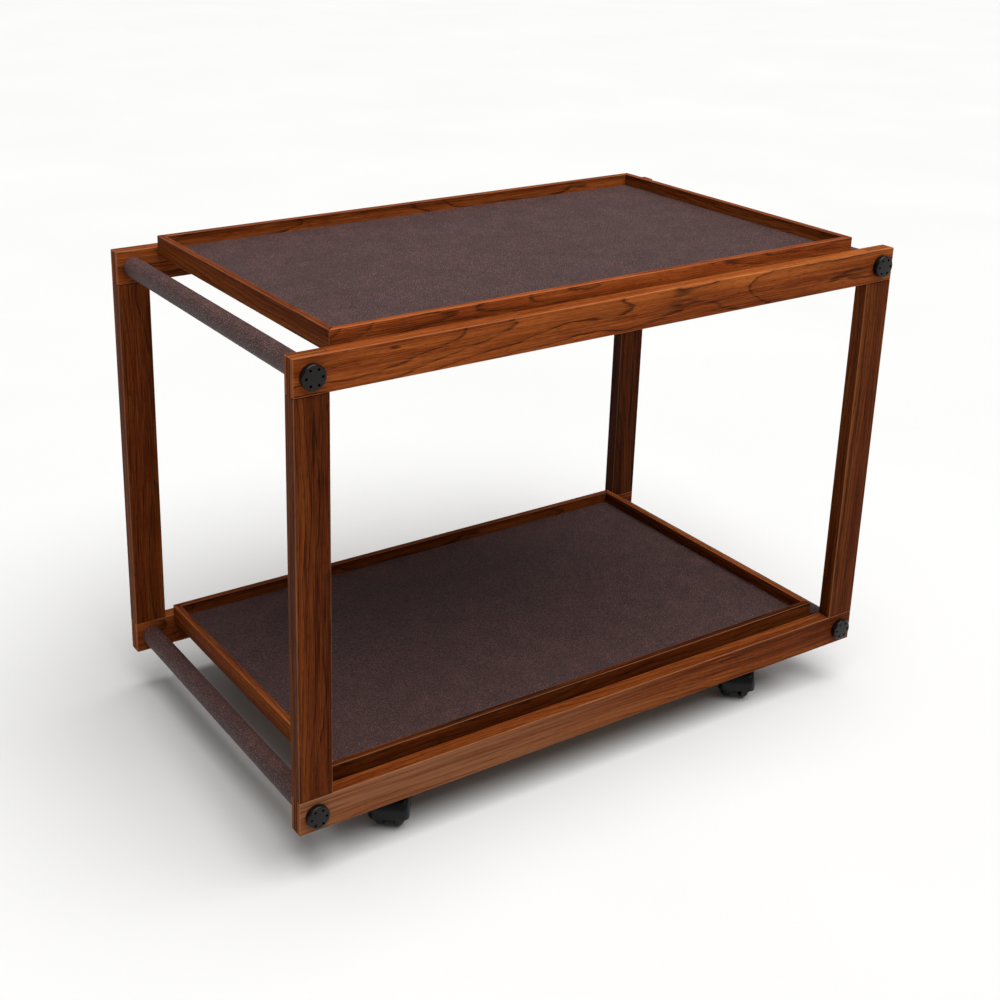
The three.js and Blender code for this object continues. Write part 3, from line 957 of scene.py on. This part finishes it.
def lathe(profile, segments=96):
    """A profile of (radius, y) points in millimetres, turned about Y."""
    points, rings = [], []
    for radius, y in profile:
        if radius == 0:
            rings.append([len(points)] * segments)
            points.append(Vector((0, y, 0)) * MM)
            continue
        rings.append(list(range(len(points), len(points) + segments)))
        for i in range(segments):
            angle = 2 * math.pi * i / segments
            points.append(Vector((radius * math.cos(angle), y, radius * math.sin(angle))) * MM)
    faces = []
    for lower, upper in zip(rings, rings[1:]):
        for i in range(segments):
            j = (i + 1) % segments
            corners = list(dict.fromkeys((lower[i], lower[j], upper[j], upper[i])))
            if len(corners) > 2:
                faces.append(corners)
    return facing_out(mesh_of(points, faces))


def arc(centre, radius, start, end, steps=6):
    """Points on an arc, for a profile's rounded corners. Angles are in degrees."""
    turns = np.radians(np.linspace(start, end, steps))
    return [(centre[0] + radius * math.cos(a), centre[1] + radius * math.sin(a)) for a in turns]


def make_hole_recipe():
    r = Recipe(
        "drill a ring of holes", count="Int", ring_radius="Float", hole_radius="Float", depth="Float", face="Float"
    )
    ring = r.node("GeometryNodeMeshCircle", {}, {"Vertices": r.asked("count"), "Radius": r.asked("ring_radius")})
    inputs = {"Vertices": 24, "Radius": r.asked("hole_radius"), "Depth": r.asked("depth") * 2}
    drill = r.node("GeometryNodeMeshCylinder", {}, inputs)
    drills = r.node("GeometryNodeInstanceOnPoints", {}, {"Points": ring, "Instance": drill})
    lift = r.node("ShaderNodeCombineXYZ", {}, {"Y": r.asked("face")})
    inputs = {"Geometry": drills, "Rotation": (-math.pi / 2, 0, 0), "Translation": lift}
    set_up = r.node("GeometryNodeTransform", {}, inputs)
    tools = r.node("GeometryNodeRealizeInstances", {}, {"Geometry": set_up})
    settings = {"operation": "DIFFERENCE", "solver": "EXACT"}
    drilled = r.node("GeometryNodeMeshBoolean", settings, {"Mesh 1": r.asked("Geometry"), "Mesh 2": tools})
    r.served(drilled, blackened_steel)
    return r


cap_profile = [
    (0, -STUD_LENGTH),
    (STUD_RADIUS - 1, -STUD_LENGTH),
    (STUD_RADIUS, 1 - STUD_LENGTH),
    (STUD_RADIUS, 0),
    (CAP_RADIUS - 0.4, 0),
    *arc((CAP_RADIUS - 0.4, 0.4), 0.4, -90, 0, 4),
    *arc((CAP_RADIUS - 1.8, CAP_HEIGHT - 1.8), 1.8, 0, 90, 8),
    (0, CAP_HEIGHT),
]
bolt_mesh = rounded_looking(make_hole_recipe().run(lathe(cap_profile), **HOLES))

for tier, z in RAIL_Z.items():
    for face, face_sign in FACES.items():
        for end, sign in ENDS.items():
            outwards = Matrix.Rotation(0 if face_sign > 0 else math.pi, 4, "Z")
            bolt = moved(bolt_mesh, at(sign * BOLT_X, face_sign * CAP_Y, z, outwards))
            node = f"{tier}_{face}_{end}_bolt"
            stands_for(add_piece("shown_" + node, bolt, blackened_steel))
print("made the bolts, each with", len(bolt_mesh.polygons), "faces")

# %% [markdown]
# ## Castors
# A twin-wheel castor is an axle between two domed wheels, under a moulded hood that turns on a kingpin. The
# hood is a domed drum with the wheels' spaces taken out and its lower half cut away. Moulded nylon has no
# sharp edges, so the shape is remeshed finely and relaxed a little. Each wheel is turned on its own.

# %% Castor shapes
TRAIL, AXLE_Z = 22, 24.786  # the axle's place behind the kingpin and above the floor
HOOD_RADIUS, HOOD_HALF = 28.5, 26
STEM_RADIUS, STEM_TOP = 11, 55.2
WEB_HALF = 6.2  # half of the wall between the wheels
AXLE_RADIUS, AXLE_HALF = 3, 17.5
PIN_RADIUS, PIN_LOW, PIN_HOLE_RADIUS = 4, 32, 4.4
HEADING = Matrix.Rotation(math.radians(-126), 4, "Z")  # all four castors trail the same way
OTHER_WAY = Matrix.Rotation(math.pi, 4, "Z")
WHEEL_RADIUS, WHEEL_INNER, BORE = 24.95, 7.2, 3.3
PLATE_TOP, PLATE_THICK = 61.8, 2.5
PLATE_HALF, PLATE_CORNER = 22, 4
AXLE = at(TRAIL, 0, AXLE_Z)


def rod(radius, low, high, axis="Y"):
    """A closed round bar on the Y or Z axis."""
    turn = {"Y": Matrix.Identity(4), "Z": Matrix.Rotation(math.pi / 2, 4, "X")}[axis]
    return moved(lathe([(0, low), (radius, low), (radius, high), (0, high)]), turn)


def hood_shape():
    """A drum less its lower part, a stem, the room for each wheel, then the web, the axle and the pin's hole."""
    half = [(16.5, HOOD_HALF), *arc((19.5, 17.0), 9.0, 78, 8, 8)]
    half = [(min(r, HOOD_RADIUS), y) for r, y in half] + [(HOOD_RADIUS, 10)]
    drum = lathe([(0, -HOOD_HALF), *((r, -y) for r, y in half), *reversed(half), (0, HOOD_HALF)])
    lower_part = moved(plank(120, 80, 60), Matrix.Rotation(math.radians(7), 4, "Y") @ at(0, 0, -30))
    hood = combined(moved(drum, AXLE), "DIFFERENCE", moved(lower_part, at(TRAIL, 0, AXLE_Z - 1)))
    hood = combined(hood, "UNION", rod(STEM_RADIUS, AXLE_Z + 14, STEM_TOP, "Z"))
    room = [(0, 6.3), (26.1, 6.3), (26.1, 14), (24.7, 18), (20.4, 21.8), (13, 23.7), (0, 24.1)]
    space = moved(lathe(room), AXLE)
    hood = combined(hood, "DIFFERENCE", space, moved(space, Matrix.Scale(-1, 4, (0, 1, 0))))
    web = moved(rod(16, -WEB_HALF, WEB_HALF), AXLE)
    block = moved(plank(TRAIL + 10, 2 * WEB_HALF, 24), at(TRAIL / 2 - 2, 0, AXLE_Z + 12))
    axle = moved(rod(AXLE_RADIUS, -AXLE_HALF, AXLE_HALF), AXLE)
    hood = combined(hood, "UNION", web, block, axle)
    hood = combined(hood, "DIFFERENCE", rod(PIN_HOLE_RADIUS, PIN_LOW - 1, STEM_TOP + 1, "Z"))
    hood = modified(hood, "REMESH", mode="VOXEL", voxel_size=0.55 * MM)
    hood = modified(hood, "SMOOTH", factor=0.5, iterations=5)
    hood.shade_smooth()
    return hood


def wheel_shape():
    """One wheel on the castor's +Y side: a tread, a domed face with a raised ring, and a hub disc."""
    bore = [(0, 18.5), (BORE, 18.5), (BORE, WHEEL_INNER)]
    recess = [(9, 0), (9, 1.2), (19, 1.2), (19, 0)]
    back = [(r, WHEEL_INNER + depth) for r, depth in recess]
    tread = [*arc((WHEEL_RADIUS - 0.8, WHEEL_INNER + 0.8), 0.8, -90, 0), (WHEEL_RADIUS, 12.6)]
    shoulder = arc((WHEEL_RADIUS - 3.4, 14.2), 3.4, 0, 62, 8)
    face = [(20.6, 18.6), (20.2, 18.3), (19.8, 18.6), *arc((6, -9.5), 31.6, 64, 83, 10)]
    hub = [(9.4, 21.9), (9.0, 21.3), (8.4, 21.3), (8.0, 22.0), (7.2, 22.5), (0, 22.7)]
    return rounded_looking(lathe([*bore, *back, *tread, *shoulder, *face, *hub]), 30)


def plate_shape():
    """A square plate with round corners, with the swivel race and the kingpin below it."""
    middle = PLATE_HALF - PLATE_CORNER
    quarters = ((middle, middle, 0), (-middle, middle, 90), (-middle, -middle, 180), (middle, -middle, 270))
    corners = [
        (x + PLATE_CORNER * math.cos(a), y + PLATE_CORNER * math.sin(a))
        for x, y, start in quarters
        for a in (math.radians(start + step) for step in range(0, 91, 15))
    ]
    plate = ease_edges(prism(corners, "z", PLATE_TOP - PLATE_THICK, PLATE_TOP), 0.5 * MM, None)
    inside = PLATE_TOP - 1  # within the plate's thickness
    race = lathe([(0, 55.8), (11.5, 55.8), *arc((11.5, 57.3), 1.5, -90, 0), (13, inside), (0, inside)])
    race = moved(race, Matrix.Rotation(math.pi / 2, 4, "X"))
    return rounded_looking(combined(plate, "UNION", race, rod(PIN_RADIUS, PIN_LOW, inside, "Z")), 30)


hood_mesh, wheel_mesh, plate_mesh = hood_shape(), wheel_shape(), plate_shape()
for face, face_sign in FACES.items():
    for end, sign in ENDS.items():
        corner = f"{face}_{end}"
        stand = at(sign * CASTOR_X, face_sign * CASTOR_Y, 0)
        swivel = stand @ HEADING
        hub = swivel @ AXLE
        parts = {
            "castor_plate": (plate_mesh, stand, zinc_plate, "zinc_steel"),
            "castor_hood": (hood_mesh, swivel, hood_nylon, "black_plastic"),
            "wheel_a": (wheel_mesh, hub, wheel_nylon, "wheel_plastic"),
            "wheel_b": (wheel_mesh, hub @ OTHER_WAY, wheel_nylon, "wheel_plastic"),
        }
        for part, (mesh, place, finish, slot) in parts.items():
            stands_for(add_piece(f"shown_{corner}_{part}", moved(mesh, place), finish))
print("made the castors, each hood with", len(hood_mesh.polygons), "faces")

# %% [markdown]
# ## Screws
# The cleats are screwed to the rails and the castor plates to the bearers. One cross-headed screw is made
# once, and a recipe sets a copy at every place, each turned by its own angle as real screws are.

# %% Screw heads
def screw_head():
    """A low domed head on the Z axis, with a cross cut into it."""
    dome = lathe([(0, -0.5), (3.4, -0.5), (3.7, 0), *arc((0, -4.4), 5.75, 50, 90, 8)[:-1], (0, 1.35)], 32)
    head = moved(dome, Matrix.Rotation(math.pi / 2, 4, "X"))
    bar = plank(3.4, 0.7, 1.6)
    bars = [moved(bar, at(0, 0, 1.3, Matrix.Rotation(a, 4, "Z"))) for a in (0, math.pi / 2)]
    return rounded_looking(combined(head, "DIFFERENCE", *bars))


def make_screw_recipe(seed):
    r = Recipe("set screws at points", head="Object", facing="Vector")
    head = r.node("GeometryNodeObjectInfo", {}, {"Object": r.asked("head")}, output="Geometry")
    aim = r.node("FunctionNodeAlignRotationToVector", {"axis": "Z"}, {"Vector": r.asked("facing")})
    inputs = {"Min_001": 0.0, "Max_001": math.pi, "Seed": seed}
    spin = r.node("FunctionNodeRandomValue", {"data_type": "FLOAT"}, inputs, output="Value_001")
    own_turn = r.node("FunctionNodeAxisAngleToRotation", {}, {"Axis": (0, 0, 1), "Angle": spin})
    inputs = {"Rotation": aim, "Rotate By": own_turn}
    turned = r.node("FunctionNodeRotateRotation", {"rotation_space": "LOCAL"}, inputs)
    inputs = {"Points": r.asked("Geometry"), "Instance": head, "Rotation": turned}
    r.served(r.node("GeometryNodeInstanceOnPoints", {}, inputs), zinc_plate)
    return r


screw = add_piece("screw", screw_head())
screw_recipe = make_screw_recipe(5)
SCREW_X = (-320, -160, 0, 160, 320)
SCREW_Y = CLEAT_Y - CLEAT / 2 - 0.2  # just off a cleat's inner face
SCREW_SPACING = 16  # from the middle of a castor plate

screw_runs = {
    f"{tier}_{face}_cleat_screws": ([(x, sign * SCREW_Y, z) for x in SCREW_X], (0, -sign, 0))
    for tier, z in CLEAT_Z.items()
    for face, sign in FACES.items()
}
screw_runs["castor_plate_screws"] = (
    [
        (sx * CASTOR_X + dx, sy * CASTOR_Y + dy, PLATE_TOP - PLATE_THICK)
        for sx in (-1, 1)
        for sy in (-1, 1)
        for dx in (-SCREW_SPACING, SCREW_SPACING)
        for dy in (-SCREW_SPACING, SCREW_SPACING)
    ],
    (0, 0, -1),
)
for name, (places, facing) in screw_runs.items():
    heads = screw_recipe.run(mesh_of([Vector(p) * MM for p in places]), head=screw, facing=facing)
    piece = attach(add_piece(name, rounded_looking(heads), zinc_plate), "frame")
bpy.data.objects.remove(screw)
print("set", sum(len(places) for places, _ in screw_runs.values()), "screws")

# %% [markdown]
# ## Floor and light
# The cart stands on a plain, nearly white floor in soft light. One broad lamp overhead, a little to the front,
# lights the tops and the front faces with soft shadows, and an even white surrounding fills the rest. A
# stronger surrounding or a lamp from behind would lay a grey veil on the oiled wood.

# %% Floor, world and lamp
GROUND_SIZE, GROUND_THICK = 40e3, 20


def make_floor_paint():
    paint = Finish("studio_floor")
    cloud = paint.speckle(paint.place(), 1.5, 3.0)
    colour = paint.blend(cloud, "#c0c0bf", "#c6c6c5")
    return paint.surface(colour, 0.75 + cloud * 0.05)


slab = moved(plank(GROUND_SIZE, GROUND_SIZE, GROUND_THICK), at(0, 0, -GROUND_THICK / 2))
ground = add_piece("ground", slab, make_floor_paint())

world = bpy.data.worlds.new("studio")
bpy.context.scene.world = world
world.use_nodes = True
surrounding = world.node_tree.nodes["Background"]
surrounding.inputs["Color"].default_value = (1, 1, 1, 1)
surrounding.inputs["Strength"].default_value = 0.27


def add_lamp(name, towards, strength, spread):
    """A far, broad lamp. towards points from the cart to the lamp, and spread is its width in degrees."""
    lamp = bpy.data.lights.new(name, "SUN")
    lamp.energy = strength
    lamp.angle = math.radians(spread)
    obj = bpy.data.objects.new(name, lamp)
    bpy.context.collection.objects.link(obj)
    obj.matrix_world = (-Vector(towards)).to_track_quat("-Z", "Y").to_matrix().to_4x4()


add_lamp("key_lamp", (0.1, -0.28, 1.0), 5.1, 60)
print("lit the scene")
